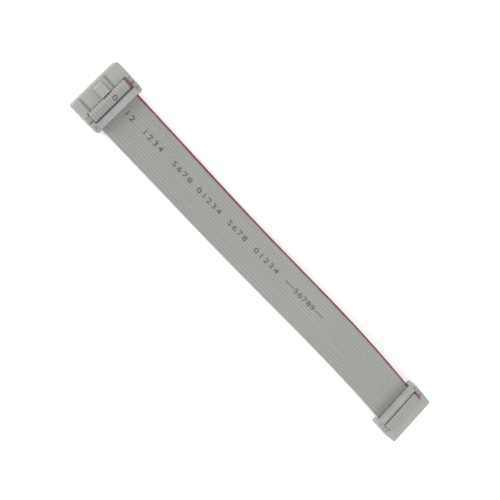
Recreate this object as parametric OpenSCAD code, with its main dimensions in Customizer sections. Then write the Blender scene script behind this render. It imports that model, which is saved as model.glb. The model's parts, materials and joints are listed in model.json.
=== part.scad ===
// Flat ribbon cable with a two-row insulation-displacement socket and a strain relief
// clip at each end. The cable lies on a table: the first socket lies flat with its key
// up, the ribbon arches off the table, and the second socket leans on its key.
// X runs along the cable, Y across it towards the marked wire, and Z is up.

/* [Cable] */
// Overall length, from one mating face to the other
overall_l = 210; // [170:5:400]
// Number of wires, two for each column of contacts
wires = 16; // [12:2:16]
// Distance from one wire to the next
wire_pitch = 1.27; // [1.2:0.01:1.5]
// Thickness of the ribbon over a wire
ribbon_t = 0.9; // [0.75:0.05:1]
// Thickness of the web between two wires
web_t = 0.5; // [0.4:0.05:0.7]
// Diameter of the bare wire
bare_d = 0.38; // [0.3:0.02:0.44]

/* [Socket] */
// Thickness of the socket without its key
socket_t = 6.1; // [5.9:0.1:7.4]
// Length of the socket beyond its outer contact columns, both ends together
socket_ends = 7.12; // [6.4:0.1:9]
// Depth of the housing, from the mating face to the ribbon
housing_h = 6.4; // [6.2:0.1:8]
// Depth of the cover, from the ribbon to the back
cover_h = 2.9; // [2.4:0.1:3.6]
// Radius of the housing's corners at the mating face
corner_r = 1; // [0.4:0.1:1.4]
// Width of the polarising key
key_w = 4.3; // [3.6:0.1:4.6]
// Height of the polarising key
key_h = 1.2; // [0.8:0.1:1.6]
// Side of a square pin opening
pin_hole = 0.95; // [0.8:0.05:1.1]

/* [Strain relief] */
// Depth of the clip, from the back of the cover to its outer face
clip_h = 5.1; // [5:0.1:6.5]
// Thickness of the bar, along the socket's depth
bar_t = 2.9; // [2.4:0.1:3]
// Distance from the ears' outer ends to the bar
bar_back = 0.7; // [0.3:0.1:0.8]
// Height of the bar's crest over the socket's face
bar_rise = 1.1; // [0.9:0.1:2]
// Slope of the bar's upper face, which rises towards the cable
bar_slope = 18; // [8:1:24]
// Bend radius where the ribbon leaves the gap, at the middle of the ribbon
fold_r = 1.2; // [0.9:0.1:1.3]
// Bend radius under the bar at the middle of the ribbon
exit_r = 1.5; // [1.2:0.1:1.6]

/* [Hidden] */

// Play between moulded pieces, and between a wire and the plastic or metal around it
fit_gap = 0.1;
wire_gap = 0.02;
// Play between the ribbon's edge and the socket's end walls
end_play = 0.25;
eps = 0.01;
$fn = 24;

// Ribbon section
ribbon_w = wires * wire_pitch;
edge_r = web_t / 2;
joint_step = 0.01;
joint_lap = 0.05;

// Socket layout: x is the depth from the mating face, y runs along the socket and
// z rises from the face that lies below to the face with the fold
cols = wires / 2;
col_pitch = 2 * wire_pitch;
row_pitch = 2.54;
socket_l = (cols - 1) * col_pitch + socket_ends;
half_l = socket_l / 2;
mid_z = socket_t / 2;
cover_x = housing_h + ribbon_t;
back_x = cover_x + cover_h;
clip_x = back_x + clip_h;
bar_x = clip_x - bar_back - bar_t;
end_y = ribbon_w / 2 + end_play;
cover_inset = 0.3;
cover_edge = 0.6;

// Ribbon lines inside a socket, measured at the middle of the ribbon: it stands in the
// gap, folds over the cover, comes down its back and leaves at the socket's mid height
gap_x = housing_h + ribbon_t / 2;
back_slack = 0.05;
back_line_x = back_x + back_slack + ribbon_t / 2;
fold_z = socket_t + fit_gap;
cut_z = 0.3;
exit_z = mid_z;
exit_x = back_line_x + exit_r;

// The fold falls at a slant over the cover, then bends down its back
slant = 15;
fall_r = 0.9;
fold_span = back_line_x - gap_x - fold_r * (1 + sin(slant));
slant_l = (fold_span - fall_r * (1 - sin(slant))) / cos(slant);
fold_drop = (fall_r - fold_r) * cos(slant) + slant_l * sin(slant);

// Key and grooves of the keyed face
key_x = 0.9;
key_end = 0.25;
groove_w = 1;
groove_d = 0.7;
groove_ys = [-6.7 * wire_pitch, 3.7 * wire_pitch];

// Contact cavities and contacts
mouth_d = 0.45;
mouth = pin_hole + 0.7;
cavity_x = 0.9;
cavity_w = 2.2;
cavity_t = 1.7;
sheet_t = 0.3;
fork_w = 0.8;
fork_tip = 1.3;
fork_root = 0.7;
beam_w = 0.9;
beam_t = 0.22;
beam_root = 0.7;
beam_lead = 0.25;
pin_grip = 0.27;

// Latch arms of the cover and legs of the strain relief
arm_t = 1;
arm_w = 4;
arm_x = 2.9;
hook = 0.3;
hook_l = 0.7;
leg_t = 0.9;
leg_w = 3.6;
leg_l = 2;
// Dark line between the cover and an ear
seam = 0.15;

// How the second socket leans: its cable end is raised
lean = 10;
mate_b_z = key_h * cos(lean) - key_x * sin(lean);
mate_b_x = overall_l / 2 - socket_t * sin(lean);
mate_a_x = -overall_l / 2;

// Route of the ribbon in the XZ plane. A move is [length, 0] for a straight stretch
// or [radius, turn] for an arc, where a positive turn bends the ribbon upwards.
start_a = [mate_a_x + gap_x, cut_z, 90];
fold_a = [
    [fold_z - cut_z, 0],
    [fold_r, -slant - 90],
    [slant_l, 0],
    [fall_r, slant - 90],
    [fold_z - fold_drop - exit_z - exit_r, 0],
    [exit_r, 90]
];
fold_b = [for (i = [len(fold_a) - 1:-1:0]) fold_a[i]];
climb_turn = 9;
fall_turn = 14;
rise = [[250, climb_turn]];
hump = [[150, -climb_turn - fall_turn], [1, 0], [60, fall_turn - lean], [1, 0]];

// The level and the climbing stretch take up what is left to the second socket
exit_b = socket_b_point(exit_x, exit_z);
reach_0 = route_state(concat(fold_a, rise, hump));
climb_l = (exit_b[1] - reach_0[1]) / sin(climb_turn);
level_l = exit_b[0] - reach_0[0] - climb_l * cos(climb_turn);
route = concat(fold_a, [[level_l, 0]], rise, [[climb_l, 0]], hump, fold_b);

function two_digits(i) = i < 10 ? str("0", i) : str(i);

function wire_y(i) = ((wires + 1) / 2 - i) * wire_pitch;

function col_y(i) = ((cols + 1) / 2 - ceil(i / 2)) * col_pitch;

// Odd contacts stand in the row next to the key
function row_z(i, key_up) = mid_z + (i % 2 == 1 ? 1 : -1) * (key_up ? 1 : -1) * row_pitch / 2;

// Place in the XZ plane of a point at depth x and height z in the second socket
function socket_b_point(x, z) = [
    mate_b_x - x * cos(lean) + z * sin(lean),
    mate_b_z + x * sin(lean) + z * cos(lean)
];

// State [x, z, heading] after one move from the state s
function after_move(s, m) =
    m[1] == 0
        ? [s[0] + m[0] * cos(s[2]), s[1] + m[0] * sin(s[2]), s[2]]
        : let (r = m[0] * sign(m[1]), h = s[2] + m[1])
            [s[0] + r * (sin(h) - sin(s[2])), s[1] + r * (cos(s[2]) - cos(h)), h];

// State after the first n moves, or after all of them
function route_state(moves, n = -1) =
    n == 0
        ? start_a
        : let (k = n < 0 ? len(moves) : n)
            after_move(route_state(moves, k - 1), moves[k - 1]);

// Carries a section along the whole route. The section's x runs across the ribbon and
// its y through the thickness. Straight stretches and arcs alternate: a straight one is
// slimmer by a hair and runs a little way into its neighbours, so that all join.
module along_route() {
    for (n = [0:len(route) - 1]) {
        s = route_state(route, n);
        $slim = route[n][1] == 0 ? joint_step : 0;
        translate([s[0], 0, s[1]])
            rotate([0, -s[2], 0])
                if (route[n][1] == 0)
                    translate([-joint_lap, 0, 0])
                        rotate([90, 0, 90])
                            linear_extrude(route[n][0] + 2 * joint_lap)
                                children();
                else
                    bend(route[n][0], route[n][1])
                        children();
    }
}

// Carries a section round an arc that starts along +X and bends up or down
module bend(r, turn) {
    mirror([0, 0, turn < 0 ? 1 : 0])
        translate([0, 0, r])
            rotate([0, 90, 0])
                rotate([90, 0, 0])
                    rotate_extrude(angle = abs(turn), $fn = 96)
                        translate([r, 0])
                            mirror([1, 0])
                                rotate(-90)
                                    children();
}

// Puts children drawn in socket coordinates at the flat end of the cable
module at_socket_a() {
    translate([mate_a_x, 0, 0])
        children();
}

// Puts children drawn in socket coordinates at the leaning end of the cable
module at_socket_b() {
    translate([mate_b_x, 0, mate_b_z])
        rotate([0, lean, 0])
            mirror([1, 0, 0])
                children();
}

// Block between two corners
module block(a, b) {
    translate(a)
        cube(b - a);
}

// Block and the same block at the other end of the socket
module both_ends() {
    children();
    mirror([0, 1, 0])
        children();
}

module ribbon_section() {
    difference() {
        union() {
            square([ribbon_w - 2 * edge_r, web_t - 2 * $slim], center = true);
            for (side = [-1, 1])
                translate([side * (ribbon_w / 2 - edge_r), 0])
                    circle(edge_r - $slim);
            for (i = [1:wires])
                translate([wire_y(i), 0])
                    circle(ribbon_t / 2 - $slim);
        }
        for (i = [1:wires])
            translate([wire_y(i), 0])
                circle(bare_d / 2 + wire_gap + $slim);
    }
}

// Holes that the forks of one socket cut through the ribbon
module fork_cuts(key_up) {
    for (i = [1:wires])
        block(
            [housing_h - fit_gap, wire_y(i) - fork_w / 2, row_z(i, key_up) - sheet_t / 2],
            [cover_x + fit_gap, wire_y(i) + fork_w / 2, row_z(i, key_up) + sheet_t / 2]
        );
}

module ribbon() {
    color("#a0a29e")
        difference() {
            along_route()
                ribbon_section();
            at_socket_a()
                fork_cuts(true);
            at_socket_b()
                fork_cuts(false);
        }
}

module wire(i) {
    color("#c98d5a")
        along_route()
            translate([wire_y(i), 0])
                circle(bare_d / 2 - $slim);
}

// Outline of a block whose two corners at x = 0 are rounded
module round_front(depth, half, r) {
    translate([r, -half])
        square([depth - r, 2 * half]);
    translate([0, r - half])
        square([depth, 2 * (half - r)]);
    for (side = [-1, 1])
        translate([r, side * (half - r)])
            circle(r);
}

// Row of wedges that widen towards x = 0, for the mouths of the pin openings
module mouth_wedges(places, span) {
    for (p = places)
        translate([0, p, -span])
            linear_extrude(2 * span)
                polygon([
                    [-eps, -mouth / 2 - eps],
                    [mouth_d, -pin_hole / 2],
                    [mouth_d, pin_hole / 2],
                    [-eps, mouth / 2 + eps]
                ]);
}

module pin_mouths() {
    col_ys = [for (i = [1:2:wires]) col_y(i)];
    intersection() {
        mouth_wedges(col_ys, 2 * socket_t);
        translate([0, 0, mid_z])
            rotate([90, 0, 0])
                mouth_wedges([-row_pitch / 2, row_pitch / 2], socket_l);
    }
}

module contact_cavities() {
    for (i = [1:wires])
        translate([0, col_y(i), row_z(i, true)]) {
            block(
                [mouth_d - eps, -pin_hole / 2, -pin_hole / 2],
                [cavity_x + eps, pin_hole / 2, pin_hole / 2]
            );
            block(
                [cavity_x, -cavity_w / 2, -cavity_t / 2],
                [housing_h + eps, cavity_w / 2, cavity_t / 2]
            );
        }
}

// Wedge that guides the socket into its header, with a sloping nose
module key() {
    translate([0, key_w / 2, 0])
        rotate([90, 0, 0])
            linear_extrude(key_w)
                polygon([
                    [key_x, socket_t - eps],
                    [key_x, socket_t + key_h / 2],
                    [key_x + key_h / 2, socket_t + key_h],
                    [housing_h - key_end, socket_t + key_h],
                    [housing_h - key_end, socket_t - eps]
                ]);
}

// Slot in the end wall for a latch arm, with a notch for its hook
module latch_slot() {
    wall_y = half_l - arm_t - fit_gap;
    slot_w = arm_w + 2 * fit_gap;
    block(
        [arm_x - fit_gap, wall_y, mid_z - slot_w / 2],
        [cover_x + eps, half_l + eps, mid_z + slot_w / 2]
    );
    block(
        [arm_x - fit_gap, wall_y - hook, mid_z - slot_w / 2],
        [arm_x + hook_l + fit_gap, wall_y + eps, mid_z + slot_w / 2]
    );
}

// Housing drawn with its key on the upper face
module keyed_housing() {
    difference() {
        union() {
            linear_extrude(socket_t)
                round_front(housing_h, half_l, corner_r);
            key();
            both_ends()
                block([housing_h - eps, end_y, 0], [cover_x, half_l, socket_t]);
        }
        pin_mouths();
        contact_cavities();
        for (y = groove_ys)
            block(
                [-eps, y - groove_w / 2, socket_t - groove_d],
                [housing_h + eps, y + groove_w / 2, socket_t + eps]
            );
        both_ends()
            latch_slot();
    }
}

module housing(key_up) {
    color("#a8aaa4")
        if (key_up)
            keyed_housing();
        else
            translate([0, 0, socket_t])
                mirror([0, 0, 1])
                    keyed_housing();
}

// Side view of the cover, chamfered where the ribbon folds over its back edge
module cover_profile() {
    cover_top = socket_t - cover_inset;
    polygon([
        [cover_x, cover_inset],
        [back_x, cover_inset],
        [back_x, cover_top - cover_edge],
        [back_x - cover_edge, cover_top],
        [cover_x, cover_top]
    ]);
}

module cover(key_up) {
    pocket_x = cover_x + fork_tip + fit_gap;
    color("#a2a49f")
        difference() {
            union() {
                translate([0, half_l, 0])
                    rotate([90, 0, 0])
                        linear_extrude(socket_l)
                            cover_profile();
                both_ends() {
                    block(
                        [arm_x, half_l - arm_t, mid_z - arm_w / 2],
                        [cover_x + eps, half_l, mid_z + arm_w / 2]
                    );
                    block(
                        [arm_x, half_l - arm_t - hook, mid_z - arm_w / 2],
                        [arm_x + hook_l, half_l - arm_t + eps, mid_z + arm_w / 2]
                    );
                }
            }
            for (i = [1:wires])
                block(
                    [
                        cover_x - eps,
                        wire_y(i) - fork_w / 2 - fit_gap,
                        row_z(i, key_up) - sheet_t / 2 - fit_gap
                    ],
                    [
                        pocket_x,
                        wire_y(i) + fork_w / 2 + fit_gap,
                        row_z(i, key_up) + sheet_t / 2 + fit_gap
                    ]
                );
            both_ends()
                block(
                    [
                        back_x - leg_l - fit_gap,
                        end_y + fit_gap,
                        mid_z - leg_w / 2 - fit_gap
                    ],
                    [
                        back_x + eps,
                        end_y + leg_t + 3 * fit_gap,
                        mid_z + leg_w / 2 + fit_gap
                    ]
                );
        }
}

// Side view of an ear: a lug whose outer end is chamfered above and below
module ear_profile() {
    ear_x = back_x + seam;
    ear_low = cover_inset;
    ear_high = socket_t - cover_inset;
    nose = 2.1;
    slope = 1.7;
    polygon([
        [ear_x, ear_low],
        [clip_x - nose, ear_low],
        [clip_x, ear_low + slope],
        [clip_x, ear_high - slope],
        [clip_x - nose, ear_high],
        [ear_x, ear_high]
    ]);
}

// Ear with a dimple in each face, a pad that seats on the cover inside the seam, and
// the leg that plugs into the cover
module ear() {
    dimple_d = 0.9;
    dimple_depth = 0.25;
    dimple_x = 2.6;
    pad_in = 0.6;
    difference() {
        intersection() {
            translate([0, half_l, 0])
                rotate([90, 0, 0])
                    linear_extrude(half_l - end_y)
                        ear_profile();
            translate([clip_x, 0, 0])
                mirror([1, 0, 0])
                    linear_extrude(socket_t)
                        round_front(clip_x, half_l, corner_r);
        }
        for (z = [cover_inset - eps, socket_t - cover_inset - dimple_depth])
            translate([clip_x - dimple_x, half_l - corner_r, z])
                cylinder(d = dimple_d, h = dimple_depth + eps);
    }
    block(
        [back_x, end_y + 2 * fit_gap, cover_inset + pad_in],
        [back_x + seam + eps, half_l - pad_in, socket_t - cover_inset - pad_in]
    );
    block(
        [back_x - leg_l, end_y + 2 * fit_gap, mid_z - leg_w / 2],
        [back_x + eps, end_y + leg_t + 2 * fit_gap, mid_z + leg_w / 2]
    );
}

// Side view of the bar, whose crest is a round edge above the cable, with a ridge that
// holds the ribbon
module bar_profile() {
    crest_r = 0.4;
    foot_r = 0.5;
    bar_low = exit_z + ribbon_t / 2 + fit_gap;
    bar_end = bar_x + bar_t;
    bar_high = socket_t + bar_rise;
    crest_z = bar_high - crest_r * (tan(bar_slope) + 1 / cos(bar_slope));
    ridge_x = back_line_x + ribbon_t / 2;
    ridge_h = 0.5;
    translate([bar_end - crest_r, crest_z])
        circle(crest_r);
    polygon([
        [bar_x, bar_low + foot_r],
        [bar_end, bar_low + foot_r],
        [bar_end, crest_z],
        [bar_end - crest_r * (1 + sin(bar_slope)), crest_z + crest_r * cos(bar_slope)],
        [bar_x, bar_high - bar_t * tan(bar_slope)]
    ]);
    for (x = [bar_x + foot_r, bar_x + bar_t - foot_r])
        translate([x, bar_low + foot_r])
            circle(foot_r);
    translate([bar_x + foot_r, bar_low])
        square([bar_t - 2 * foot_r, 2 * foot_r]);
    translate([ridge_x, exit_z + exit_r])
        square([bar_x + foot_r - ridge_x, ridge_h]);
}

module strain_relief() {
    color("#aeb0ac") {
        translate([0, end_y + eps, 0])
            rotate([90, 0, 0])
                linear_extrude(2 * (end_y + eps))
                    bar_profile();
        both_ends()
            ear();
    }
}

// Flat fork that grips a wire, standing on the contact's neck
module fork_outline(i) {
    slot_w = bare_d + 2 * wire_gap;
    tip_x = cover_x + fork_tip;
    root_x = housing_h - fork_root;
    half = fork_w / 2;
    difference() {
        polygon([
            [root_x, -half],
            [tip_x - half / 2, -half],
            [tip_x, -half / 2],
            [tip_x, half / 2],
            [tip_x - half / 2, half],
            [root_x, half]
        ]);
        translate([gap_x - bare_d / 2 - wire_gap, -slot_w / 2])
            square([tip_x, slot_w]);
    }
}

// One of the two springs that close on a header pin
module beam_outline() {
    root_x = housing_h - fork_root - beam_w / 2;
    grip_x = cavity_x + 1;
    tip_x = cavity_x + 0.3;
    tip_y = pin_grip + beam_lead;
    polygon([
        [root_x, beam_root],
        [grip_x, pin_grip],
        [tip_x, tip_y],
        [tip_x, tip_y + beam_t],
        [grip_x, pin_grip + beam_t],
        [root_x, beam_root + beam_t]
    ]);
}

module contact(i, key_up) {
    step = wire_y(i) - col_y(i);
    neck_x = housing_h - fork_root - beam_w / 2;
    neck_half = beam_root + beam_t;
    color("#c9b37a")
        translate([0, col_y(i), row_z(i, key_up)]) {
            translate([0, step, -sheet_t / 2])
                linear_extrude(sheet_t)
                    fork_outline(i);
            block(
                [neck_x - eps, -neck_half, -sheet_t / 2],
                [housing_h - fork_root + eps, neck_half, sheet_t / 2]
            );
            block(
                [neck_x + eps, min(step, 0) - fork_w / 2, -sheet_t / 2],
                [housing_h - fork_root + 2 * eps, max(step, 0) + fork_w / 2, sheet_t / 2]
            );
            for (side = [0, 1])
                mirror([0, side, 0])
                    translate([0, 0, -beam_w / 2])
                        linear_extrude(beam_w)
                            beam_outline();
        }
}

ribbon();
for (i = [1:wires])
    wire(i);

at_socket_a() housing(true);  // housing_a
at_socket_a() cover(true);  // cover_a
at_socket_a() strain_relief();  // strain_relief_a
for (i = [1:wires])
    at_socket_a() contact(i, true);

at_socket_b() housing(false);  // housing_b
at_socket_b() cover(false);  // cover_b
at_socket_b() strain_relief();  // strain_relief_b
for (i = [1:wires])
    at_socket_b() contact(i, false);
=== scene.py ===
"""Looks of a flat ribbon cable with a socket and a strain relief clip at each end.

Lengths are in metres. X runs along the cable from the socket that lies flat to the one
that leans, Y across it towards the marked wire, and Z is up from the table.
"""

import json
import math

import bmesh
import bpy
import numpy as np
from mathutils import Matrix, Vector


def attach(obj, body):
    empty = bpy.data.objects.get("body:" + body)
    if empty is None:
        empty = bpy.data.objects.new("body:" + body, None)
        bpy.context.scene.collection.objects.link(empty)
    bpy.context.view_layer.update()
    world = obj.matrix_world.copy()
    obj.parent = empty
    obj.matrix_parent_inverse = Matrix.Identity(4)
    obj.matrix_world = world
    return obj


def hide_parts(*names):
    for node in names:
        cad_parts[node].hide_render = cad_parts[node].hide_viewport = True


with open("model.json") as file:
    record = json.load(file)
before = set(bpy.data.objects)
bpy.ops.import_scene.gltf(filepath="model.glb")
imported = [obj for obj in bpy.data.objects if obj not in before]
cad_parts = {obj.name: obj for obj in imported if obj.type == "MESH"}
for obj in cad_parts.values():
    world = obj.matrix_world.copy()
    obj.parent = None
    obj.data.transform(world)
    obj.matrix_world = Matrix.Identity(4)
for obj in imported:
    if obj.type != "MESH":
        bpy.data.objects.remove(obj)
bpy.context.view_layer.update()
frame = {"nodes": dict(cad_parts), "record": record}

MM = 0.001

# Sizes of the part that the ribbon's route and section follow
OVERALL_L = 210 * MM
SOCKET_T = 6.1 * MM
HOUSING_H = 6.4 * MM
BACK_X = 10.2 * MM
KEY_H = 1.2 * MM
KEY_X = 0.9 * MM
LEAN = 10
WIRES = 16
PITCH = 1.27 * MM
RIBBON_T = 0.9 * MM
WEB_T = 0.5 * MM
RIBBON_W = WIRES * PITCH
EDGE_R = WEB_T / 2
LOBE_R = RIBBON_T / 2

# Ribbon lines inside a socket: the gap it starts in, the line behind the cover, its cut
# end, the crest of the fold and the level at which it leaves under the bar
FIT_GAP = 0.1 * MM
BACK_SLACK = 0.05 * MM
FOLD_R = 1.2 * MM
FALL_R = 0.9 * MM
SLANT = 15
EXIT_R = 1.5 * MM
GAP_X = HOUSING_H + RIBBON_T / 2
BACK_LINE_X = BACK_X + BACK_SLACK + RIBBON_T / 2
CUT_Z = 0.3 * MM
FOLD_Z = SOCKET_T + FIT_GAP
EXIT_Z = SOCKET_T / 2
EXIT_X = BACK_LINE_X + EXIT_R

# The fold falls at a slant over the cover, then bends down its back
SLANT_SIN = math.sin(math.radians(SLANT))
SLANT_COS = math.cos(math.radians(SLANT))
FOLD_SPAN = BACK_LINE_X - GAP_X - FOLD_R * (1 + SLANT_SIN)
SLANT_L = (FOLD_SPAN - FALL_R * (1 - SLANT_SIN)) / SLANT_COS
FOLD_DROP = (FALL_R - FOLD_R) * SLANT_COS + SLANT_L * SLANT_SIN

# The route as in the part: [length, 0] is a straight stretch, [radius, turn] an arc
START = (GAP_X - OVERALL_L / 2, CUT_Z, 90)
FOLD = [
    [FOLD_Z - CUT_Z, 0],
    [FOLD_R, -SLANT - 90],
    [SLANT_L, 0],
    [FALL_R, SLANT - 90],
    [FOLD_Z - FOLD_DROP - EXIT_Z - EXIT_R, 0],
    [EXIT_R, 90],
]
CLIMB = 9
FALL = 14
RISE = [[250 * MM, CLIMB]]
HUMP = [[150 * MM, -CLIMB - FALL], [1 * MM, 0], [60 * MM, FALL - LEAN], [1 * MM, 0]]

# Steps along the route, as (straight step, degrees of arc)
SURFACE_STEP = (1.0 * MM, 9)
PRINT_STEP = (0.5 * MM, 3)
CORD_STEP = (15 * MM, 45)

# The red mark: how wide it is, and how much wider from the cut end over the first fold
MARK_W = 1.0 * MM
MARK_SOFT = 0.12 * MM
MARK_WANDER = 0.08 * MM
MARK_SPREAD = 0.2 * MM
SPREAD_END = (12 * MM, 15 * MM)

# The print: one line of digits between the ribbon's middle and the marked wire
DIGIT_H = 2.3 * MM
DIGIT_H_OF_SIZE = 0.7
DIGIT_STRETCH = 1.4
INK_SPREAD = 0.04 * MM
INK_LIFT = 0.012 * MM
INK_EDGE_MAX = 0.3 * MM
PRINT_Y = 1.8 * MM
DIGIT_PITCH = 3.1 * MM
TIGHT_PITCH = 2.6 * MM
DASH_L = 2 * TIGHT_PITCH
DASH_W = 0.4 * MM
DASH_PITCH = 2.2 * TIGHT_PITCH

# Each group and where it starts, from where the ribbon leaves the flat socket
PRINT = [
    ("0", -7.4 * MM),
    ("12", 3.8 * MM),
    ("1234", 14.3 * MM),
    ("5678", 32 * MM),
    ("01234", 47.2 * MM),
    ("5678", 66.5 * MM),
    ("01234", 83.2 * MM),
    ("-56789-", 102.6 * MM),
]

# Light: even from all round, a broad key and a weak fill. The floor glows a little where
# it is seen, so that it looks white and still takes the shadow.
SKY_STRENGTH = 0.73
BACKGROUND_STRENGTH = 1
FLOOR_GLOW = 0.36
FLOOR_HALF = 2.0
FLOOR_Z = -0.02 * MM
LIGHT_WIDTH = 30


# ---------------------------------------------------------------- small helpers


def linear(code):
    """Scene-linear colour of an sRGB hex code."""
    srgb = [int(code[i : i + 2], 16) / 255 for i in (1, 3, 5)]
    return (*[c / 12.92 if c <= 0.04045 else ((c + 0.055) / 1.055) ** 2.4 for c in srgb], 1)


def add(tree, kind, settings=None, inputs=None):
    """Adds a shader node, sets its properties, and sets or links its inputs."""
    made = tree.nodes.new("ShaderNode" + kind)
    for name, value in (settings or {}).items():
        setattr(made, name, value)
    for name, value in (inputs or {}).items():
        if isinstance(value, bpy.types.NodeSocket):
            tree.links.new(value, made.inputs[name])
        else:
            made.inputs[name].default_value = value
    return made


def new_material(name):
    """An empty node material and its tree."""
    made = bpy.data.materials.new(name)
    made.use_nodes = True
    made.node_tree.nodes.clear()
    return made, made.node_tree


def shade(tree, **inputs):
    """Ends a material in one Principled surface."""
    names = {name.replace("_", " "): value for name, value in inputs.items()}
    surface = add(tree, "BsdfPrincipled", inputs=names)
    add(tree, "OutputMaterial", inputs={"Surface": surface.outputs[0]})


def two(tree, operation, first, second):
    """Works out one value from two."""
    return add(tree, "Math", {"operation": operation}, {0: first, 1: second}).outputs[0]


def noise(tree, place, size, detail=2.0):
    """Noise whose features are about size metres."""
    inputs = {"Vector": place, "Scale": 1 / size, "Detail": detail}
    return add(tree, "TexNoise", inputs=inputs).outputs["Fac"]


def ramp(tree, value, low, high, from_low=0.3, from_high=0.7):
    """Carries a value's range from_low..from_high to low..high."""
    made = add(
        tree,
        "MapRange",
        inputs={
            "Value": value,
            "From Min": from_low,
            "From Max": from_high,
            "To Min": low,
            "To Max": high,
        },
    )
    return made.outputs["Result"]


def blend(tree, share, first, second):
    """Mixes two colours; each is a hex code or a socket."""
    made = add(tree, "Mix", {"data_type": "RGBA"}, {0: share})
    for index, value in ((6, first), (7, second)):
        if isinstance(value, str):
            made.inputs[index].default_value = linear(value)
        else:
            tree.links.new(value, made.inputs[index])
    return made.outputs[2]


def new_object(name, data):
    """Puts a mesh, curve, camera or light in the scene."""
    made = bpy.data.objects.new(name, data)
    bpy.context.scene.collection.objects.link(made)
    return made


def new_piece(name, points, faces, material, uv=None):
    """A smooth mesh piece in the part's frame, on the part's only body."""
    mesh = bpy.data.meshes.new(name)
    mesh.from_pydata(points.tolist(), [], faces)
    if uv is not None:
        layer = mesh.uv_layers.new(name="UVMap")
        corner = np.empty(len(mesh.loops), dtype=np.int32)
        mesh.loops.foreach_get("vertex_index", corner)
        layer.data.foreach_set("uv", uv[corner].astype(np.float32).ravel())
    mesh.polygons.foreach_set("use_smooth", np.ones(len(mesh.polygons), dtype=bool))
    mesh.materials.append(material)
    mesh.update()
    made = new_object(name, mesh)
    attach(made, "root")
    return made


# ---------------------------------------------------------------- camera


def camera():
    """A 72 mm lens above the flat socket's end, with the cable running down to the right."""
    data = bpy.data.cameras.new("camera")
    data.lens = 72
    data.sensor_width = 36
    data.clip_start = 0.01
    data.clip_end = 10
    made = new_object("camera", data)
    place = Vector((-0.1585, -0.0586, 0.3948))
    target = Vector((-0.0085, 0.0007, 0))
    up_turn = math.radians(137)
    back = (place - target).normalized()
    up = Vector((math.cos(up_turn), math.sin(up_turn), 0))
    right = up.cross(back).normalized()
    up = back.cross(right)
    turned = Matrix((right, up, back)).transposed().to_4x4()
    made.matrix_world = Matrix.Translation(place) @ turned
    bpy.context.scene.camera = made


camera()


# ---------------------------------------------------------------- ribbon


def after_move(state, move):
    """State (x, z, heading in degrees) after a straight stretch or an arc."""
    x, z, heading = state
    amount, turn = move
    here = math.radians(heading)
    if turn == 0:
        return x + amount * math.cos(here), z + amount * math.sin(here), heading
    r = math.copysign(amount, turn)
    there = math.radians(heading + turn)
    dx = r * (math.sin(there) - math.sin(here))
    dz = r * (math.cos(here) - math.cos(there))
    return x + dx, z + dz, heading + turn


def run(state, moves):
    """State after a list of moves."""
    for move in moves:
        state = after_move(state, move)
    return state


def length_of(move):
    """Length of a straight stretch or an arc."""
    amount, turn = move
    return amount if turn == 0 else amount * math.radians(abs(turn))


def whole_route():
    """All moves, with the level and the climbing stretch that reach the second socket."""
    lean = math.radians(LEAN)
    mate_x = OVERALL_L / 2 - SOCKET_T * math.sin(lean)
    mate_z = KEY_H * math.cos(lean) - KEY_X * math.sin(lean)
    exit_x = mate_x - EXIT_X * math.cos(lean) + EXIT_Z * math.sin(lean)
    exit_z = mate_z + EXIT_X * math.sin(lean) + EXIT_Z * math.cos(lean)
    x, z, _ = run(START, FOLD + RISE + HUMP)
    climb = math.radians(CLIMB)
    climb_l = (exit_z - z) / math.sin(climb)
    level_l = exit_x - x - climb_l * math.cos(climb)
    return FOLD + [[level_l, 0]] + RISE + [[climb_l, 0]] + HUMP + FOLD[::-1]


def centre_line(straight_step, turn_step):
    """Samples (distance, x, z, heading in radians) along the route."""
    state, length, rows = START, 0.0, [(0.0, *START)]
    for amount, turn in whole_route():
        span = length_of([amount, turn])
        count = max(1, math.ceil(span / straight_step), math.ceil(abs(turn) / turn_step))
        for k in range(1, count + 1):
            part = [amount * k / count, 0] if turn == 0 else [amount, turn * k / count]
            rows.append((length + span * k / count, *after_move(state, part)))
        state = after_move(state, [amount, turn])
        length += span
    rows = np.array(rows)
    rows[:, 3] = np.radians(rows[:, 3])
    return rows


def wire_places():
    """Places of the wires across the ribbon, the marked one first."""
    return ((WIRES + 1) / 2 - np.arange(1, WIRES + 1)) * PITCH


def half_thickness(across):
    """Height of the section over its middle: the greatest of lobes, web and round edge.

    A lobe is sqrt(lobe radius^2 - offset^2) from its wire, and the web is
    sqrt(edge radius^2 - past^2), where past is how far a place lies in the round edge.
    """
    offset = across[..., None] - wire_places()
    lobe = np.sqrt(np.clip(LOBE_R**2 - offset**2, 0, None)).max(-1)
    past = np.abs(across) - (RIBBON_W / 2 - EDGE_R)
    web = np.sqrt(np.clip(EDGE_R**2 - np.clip(past, 0, None) ** 2, 0, None))
    return np.maximum(lobe, web)


def section_places():
    """Samples across the section: even angles round each lobe and each round edge.

    A lobe's samples lie at wire + lobe radius * sin(angle), and those that would crowd
    the round edge are left out.
    """
    per_lobe = 9
    reach = math.acos(EDGE_R / LOBE_R)
    angles = np.linspace(-reach, reach, per_lobe)
    lobes = wire_places()[:, None] + LOBE_R * np.sin(angles)
    lobes = lobes[np.abs(lobes) < RIBBON_W / 2 - EDGE_R * 0.4]
    round_edge = np.sin(np.radians([50, 70, 82, 90]))
    edges = RIBBON_W / 2 - EDGE_R + EDGE_R * round_edge
    return np.sort(np.concatenate([lobes, edges, -edges]))


def surface_point(rows, across, height):
    """Point at a place along the centre line, across it and above it.

    P = (x - height sin(heading), across, z + height cos(heading))
    """
    x = rows[..., 1] - height * np.sin(rows[..., 3])
    z = rows[..., 2] + height * np.cos(rows[..., 3])
    return np.stack([x, across, z], -1)


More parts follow.
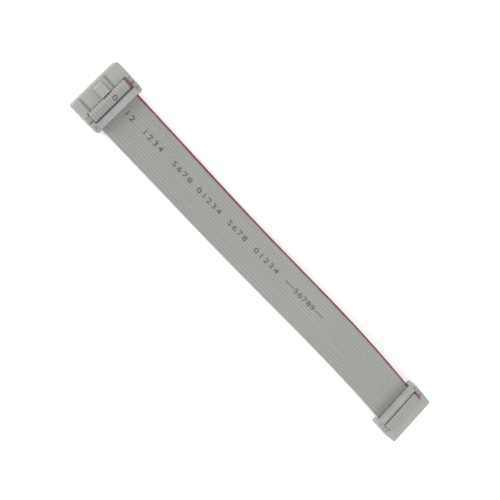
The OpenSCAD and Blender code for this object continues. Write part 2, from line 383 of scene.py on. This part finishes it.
def ribbon(material):
    """The insulation: its section carried along the centre line as one closed grid.

    P(k, i) = surface_point(row k, loop_y[i], loop_h[i]), where the loop runs along the
    upper outline from one edge to the other and back along the lower one. Strips between
    the two outlines, with a triangle at each edge, close both ends.
    """
    rows = centre_line(*SURFACE_STEP)
    across = section_places()
    rise = half_thickness(across)
    rise[[0, -1]] = 0
    loop_y = np.concatenate([across, across[-2:0:-1]])
    loop_h = np.concatenate([rise, -rise[-2:0:-1]])
    width = len(across)
    count = len(loop_y)
    grid = (len(rows), count)
    points = surface_point(
        np.repeat(rows[:, None, :], count, axis=1),
        np.broadcast_to(loop_y, grid),
        np.broadcast_to(loop_h, grid),
    )
    uv = np.stack([np.repeat(rows[:, 0], count), np.tile(loop_y, len(rows))], -1)

    k = np.arange(len(rows) - 1)[:, None] * count
    i = np.arange(count)
    j = (i + 1) % count
    sides = np.stack([k + i, k + j, k + count + j, k + count + i], -1).reshape(-1, 4)
    top = np.arange(1, width - 2)
    strips = np.stack([top, count - top, count - top - 1, top + 1], -1)
    tips = np.array([[0, count - 1, 1], [width - 2, width, width - 1]])
    last = (len(rows) - 1) * count
    faces = sides.tolist()
    for cap in (strips, tips):
        faces += cap.tolist() + (cap[:, ::-1] + last).tolist()

    piece = new_piece(
        "ribbon_insulation", points.reshape(-1, 3), faces, material, uv
    )
    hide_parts("ribbon")
    line = centre_line(*CORD_STEP)


def extruded_pvc():
    """Soft PVC drawn through a die, with a red mark printed along the first wire.

    The eye gets a soft, even sheen, faint lines along the ribbon from the die, slightly
    cloudy grey and a mark whose edge wanders a little.
    """
    made, tree = new_material("extruded_pvc")
    uv = add(tree, "UVMap", {"uv_map": "UVMap"}).outputs["UV"]
    place = add(tree, "SeparateXYZ", inputs={"Vector": uv})
    stretched = add(tree, "Mapping", inputs={"Vector": uv, "Scale": (0.02, 1, 1)})
    streak = noise(tree, stretched.outputs[0], 0.5 * MM, 3)
    cloud = noise(tree, uv, 9 * MM)
    grey = blend(tree, ramp(tree, streak, 0, 1), "#999A97", "#A6A7A3")
    grey = blend(tree, ramp(tree, cloud, 0, 0.35), grey, "#9D9E99")
    wander = ramp(tree, noise(tree, uv, 6 * MM), -MARK_WANDER, MARK_WANDER)
    spread = ramp(tree, place.outputs["X"], MARK_SPREAD, 0, *SPREAD_END)
    across = two(tree, "ADD", two(tree, "ADD", place.outputs["Y"], wander), spread)
    mark_y = RIBBON_W / 2 - MARK_W
    mark = ramp(tree, across, 0, 1, mark_y, mark_y + MARK_SOFT)
    grain = noise(tree, uv, 0.12 * MM)
    inputs = {"Height": grain, "Strength": 0.12, "Distance": 0.02 * MM}
    bump = add(tree, "Bump", inputs=inputs)
    shade(
        tree,
        Base_Color=blend(tree, mark, grey, "#7F3B4A"),
        Roughness=ramp(tree, streak, 0.42, 0.52),
        IOR=1.53,
        Normal=bump.outputs[0],
    )
    return made


PVC = extruded_pvc()
ribbon(PVC)


# ---------------------------------------------------------------- print


def printing_ink():
    """Matt grey ink from a printing wheel, worn paler in small spots."""
    made, tree = new_material("printing_ink")
    place = add(tree, "TexCoord").outputs["Object"]
    wear = noise(tree, place, 0.3 * MM)
    shade(
        tree,
        Base_Color=blend(tree, ramp(tree, wear, 0, 1, 0.45, 0.65), "#4E4E4C", "#82827F"),
        Roughness=0.6,
        IOR=1.5,
    )
    return made


def flat_digit(character):
    """Points and triangles of one flat digit, centred on x = 0 and y = 0.

    Edges too long to follow the lobes are halved up to four times.
    """
    curve = bpy.data.curves.new("digit", "FONT")
    curve.body = character
    curve.align_x = "CENTER"
    curve.size = DIGIT_H / DIGIT_H_OF_SIZE
    curve.offset = INK_SPREAD
    made = new_object("digit", curve)
    bpy.context.view_layer.update()
    shown = made.evaluated_get(bpy.context.evaluated_depsgraph_get())
    mesh = bpy.data.meshes.new_from_object(shown)
    bpy.data.objects.remove(made)
    work = bmesh.new()
    work.from_mesh(mesh)
    bpy.data.meshes.remove(mesh)
    bmesh.ops.triangulate(work, faces=work.faces)
    for _ in range(4):
        long_edges = [e for e in work.edges if e.calc_length() > INK_EDGE_MAX]
        bmesh.ops.subdivide_edges(work, edges=long_edges, cuts=1)
        bmesh.ops.triangulate(work, faces=work.faces)
    bmesh.ops.remove_doubles(work, verts=work.verts, dist=0.002 * MM)
    work.verts.index_update()
    points = np.array([v.co for v in work.verts])
    faces = np.array([[v.index for v in f.verts] for f in work.faces])
    work.free()
    return (points - (0, DIGIT_H / 2, 0)) * (DIGIT_STRETCH, 1, 1), faces


def flat_dash():
    """Points and triangles of a flat bar, centred on x = 0 and y = 0.

    The points are an even grid, and each of its cells is two triangles.
    """
    nx, ny = 20, 3
    x, y = np.meshgrid(np.linspace(-DASH_L, DASH_L, nx) / 2, np.linspace(-DASH_W, DASH_W, ny) / 2)
    points = np.stack([x.ravel(), y.ravel(), np.zeros(nx * ny)], -1)
    i = (np.arange(ny - 1)[:, None] * nx + np.arange(nx - 1)).ravel()
    first = np.stack([i, i + 1, i + nx + 1], -1)
    second = np.stack([i, i + nx + 1, i + nx], -1)
    return points, np.concatenate([first, second])


def printed_line(name, text, start, material, rows):
    """Characters laid on the ribbon's upper face, tops towards the marked wire.

    The first begins at a distance along the ribbon. The print is a thin film over the
    lobes: P = surface_point(start + x, across + y, half_thickness + INK_LIFT)
    """
    digit_pitch = TIGHT_PITCH if "-" in text else DIGIT_PITCH
    points, faces, count = [], [], 0
    for character in text:
        is_dash = character == "-"
        pitch = DASH_PITCH if is_dash else digit_pitch
        flat, triangles = flat_dash() if is_dash else flat_digit(character)
        points.append(flat + (start + pitch / 2, PRINT_Y, 0))
        faces.append(triangles + count)
        count += len(flat)
        start += pitch
    flat = np.concatenate(points)
    line = np.stack([np.interp(flat[:, 0], rows[:, 0], rows[:, c]) for c in range(4)], -1)
    shape = surface_point(line, flat[:, 1], half_thickness(flat[:, 1]) + INK_LIFT)
    new_piece(name, shape, np.concatenate(faces).tolist(), material)


def print_groups(material):
    """Groups of plain digits along the ribbon, nearer to the marked wire."""
    rows = centre_line(*PRINT_STEP)
    folded = sum(length_of(move) for move in FOLD)
    for k, (text, start) in enumerate(PRINT, 1):
        printed_line(f"print_{k}", text, folded + start, material, rows)


print_groups(printing_ink())


# ---------------------------------------------------------------- mouldings and metal


def moulded_polyester(name, base, light):
    """Glass-filled polyester from a spark-eroded mould.

    The eye gets a matt surface with a fine even texture, faint cloudiness from the
    filler and slightly round edges. The texture of such moulds is about 0.05 mm and is
    drawn coarser here, so that it shows.
    """
    made, tree = new_material(name)
    place = add(tree, "TexCoord").outputs["Object"]
    cloud = noise(tree, place, 5 * MM, 3)
    grain = noise(tree, place, 0.18 * MM)
    round_edge = add(tree, "Bevel", {"samples": 6}, {"Radius": 0.1 * MM})
    inputs = {"Height": grain, "Strength": 0.25, "Distance": 0.03 * MM}
    bump = add(tree, "Bump", inputs={**inputs, "Normal": round_edge.outputs[0]})
    shade(
        tree,
        Base_Color=blend(tree, ramp(tree, cloud, 0, 1), base, light),
        Roughness=ramp(tree, grain, 0.48, 0.62),
        IOR=1.57,
        Normal=bump.outputs[0],
    )
    return made


def drawn_metal(name, base, dull, roughness):
    """Bare metal, drawn or rolled along X and partly tarnished.

    The eye gets a metallic colour, fine lines along the piece and dull spots.
    """
    made, tree = new_material(name)
    place = add(tree, "TexCoord").outputs["Object"]
    stretched = add(tree, "Mapping", inputs={"Vector": place, "Scale": (0.1, 1, 1)})
    lines = noise(tree, stretched.outputs[0], 0.06 * MM)
    spots = noise(tree, place, 0.8 * MM, 3)
    shade(
        tree,
        Base_Color=blend(tree, ramp(tree, spots, 0, 1), base, dull),
        Metallic=1.0,
        Roughness=ramp(tree, lines, roughness - 0.06, roughness + 0.08),
    )
    return made


FINISHES = {
    "insulation": PVC,
    "wire_metal": drawn_metal("drawn_copper", "#C98D5A", "#B07848", 0.3),
    "housing_plastic": moulded_polyester("polyester_housing", "#A3A49F", "#ACADA8"),
    # The cover is the same polyester as the housing; its darker grey is painted shade, standing
    # for the shade on its lower top.
    "cover_plastic": moulded_polyester("polyester_cover_painted_shade", "#999B95", "#A2A49E"),
    "clip_plastic": moulded_polyester("polyester_clip", "#9D9E9C", "#A7A8A6"),
    "contact_metal": drawn_metal("gilt_bronze_strip", "#D8C083", "#BFA66C", 0.28),
}

for entry in frame["record"]["subparts"]:
    cad = frame["nodes"][entry["node"]]
    cad.data.materials.clear()
    cad.data.materials.append(FINISHES[entry["material_slot"]])


# ---------------------------------------------------------------- floor and light


def by_path(tree, unseen, seen):
    """One strength for paths that light the cable and one for paths that are seen.

    A path is seen straight from the camera, in a reflection or through something clear.
    """
    path = add(tree, "LightPath").outputs
    most = path["Is Camera Ray"]
    for kind in ("Is Glossy Ray", "Is Transmission Ray"):
        most = two(tree, "MAXIMUM", most, path[kind])
    return ramp(tree, most, unseen, seen, 0, 1)


def white_floor():
    """A large matt white sheet just under the cable."""
    made, tree = new_material("white_paper")
    place = add(tree, "TexCoord").outputs["Object"]
    paper = noise(tree, place, 2 * MM)
    shade(
        tree,
        Base_Color=blend(tree, ramp(tree, paper, 0, 1), "#F6F6F5", "#F8F8F7"),
        Roughness=0.9,
        Specular_IOR_Level=0.2,
        Emission_Color=linear("#FFFFFF"),
        Emission_Strength=by_path(tree, 0, FLOOR_GLOW),
    )
    mesh = bpy.data.meshes.new("floor")
    corners = [(-1, -1), (1, -1), (1, 1), (-1, 1)]
    points = [(x * FLOOR_HALF, y * FLOOR_HALF, FLOOR_Z) for x, y in corners]
    mesh.from_pydata(points, [], [(0, 1, 2, 3)])
    mesh.materials.append(made)
    new_object("floor", mesh)


def far_light(name, place, strength):
    """A broad light far away in the direction of a place."""
    data = bpy.data.lights.new(name, "SUN")
    data.energy = strength
    data.angle = math.radians(LIGHT_WIDTH)
    made = new_object(name, data)
    made.location = place
    made.rotation_euler = Vector(place).to_track_quat("Z", "Y").to_euler()


def sky():
    """Even white light from all round, behind a white background."""
    world = bpy.data.worlds.new("sky")
    bpy.context.scene.world = world
    world.use_nodes = True
    tree = world.node_tree
    tree.nodes.clear()
    strength = by_path(tree, SKY_STRENGTH, BACKGROUND_STRENGTH)
    inputs = {"Color": linear("#FFFFFF"), "Strength": strength}
    back = add(tree, "Background", inputs=inputs)
    add(tree, "OutputWorld", inputs={"Surface": back.outputs[0]})


white_floor()
sky()
far_light("key_light", (-0.8, -0.4, 0.45), 1.6)
far_light("fill_light", (0.93, 0.0, 0.36), 0.6)
bpy.context.scene.view_settings.view_transform = "Standard"
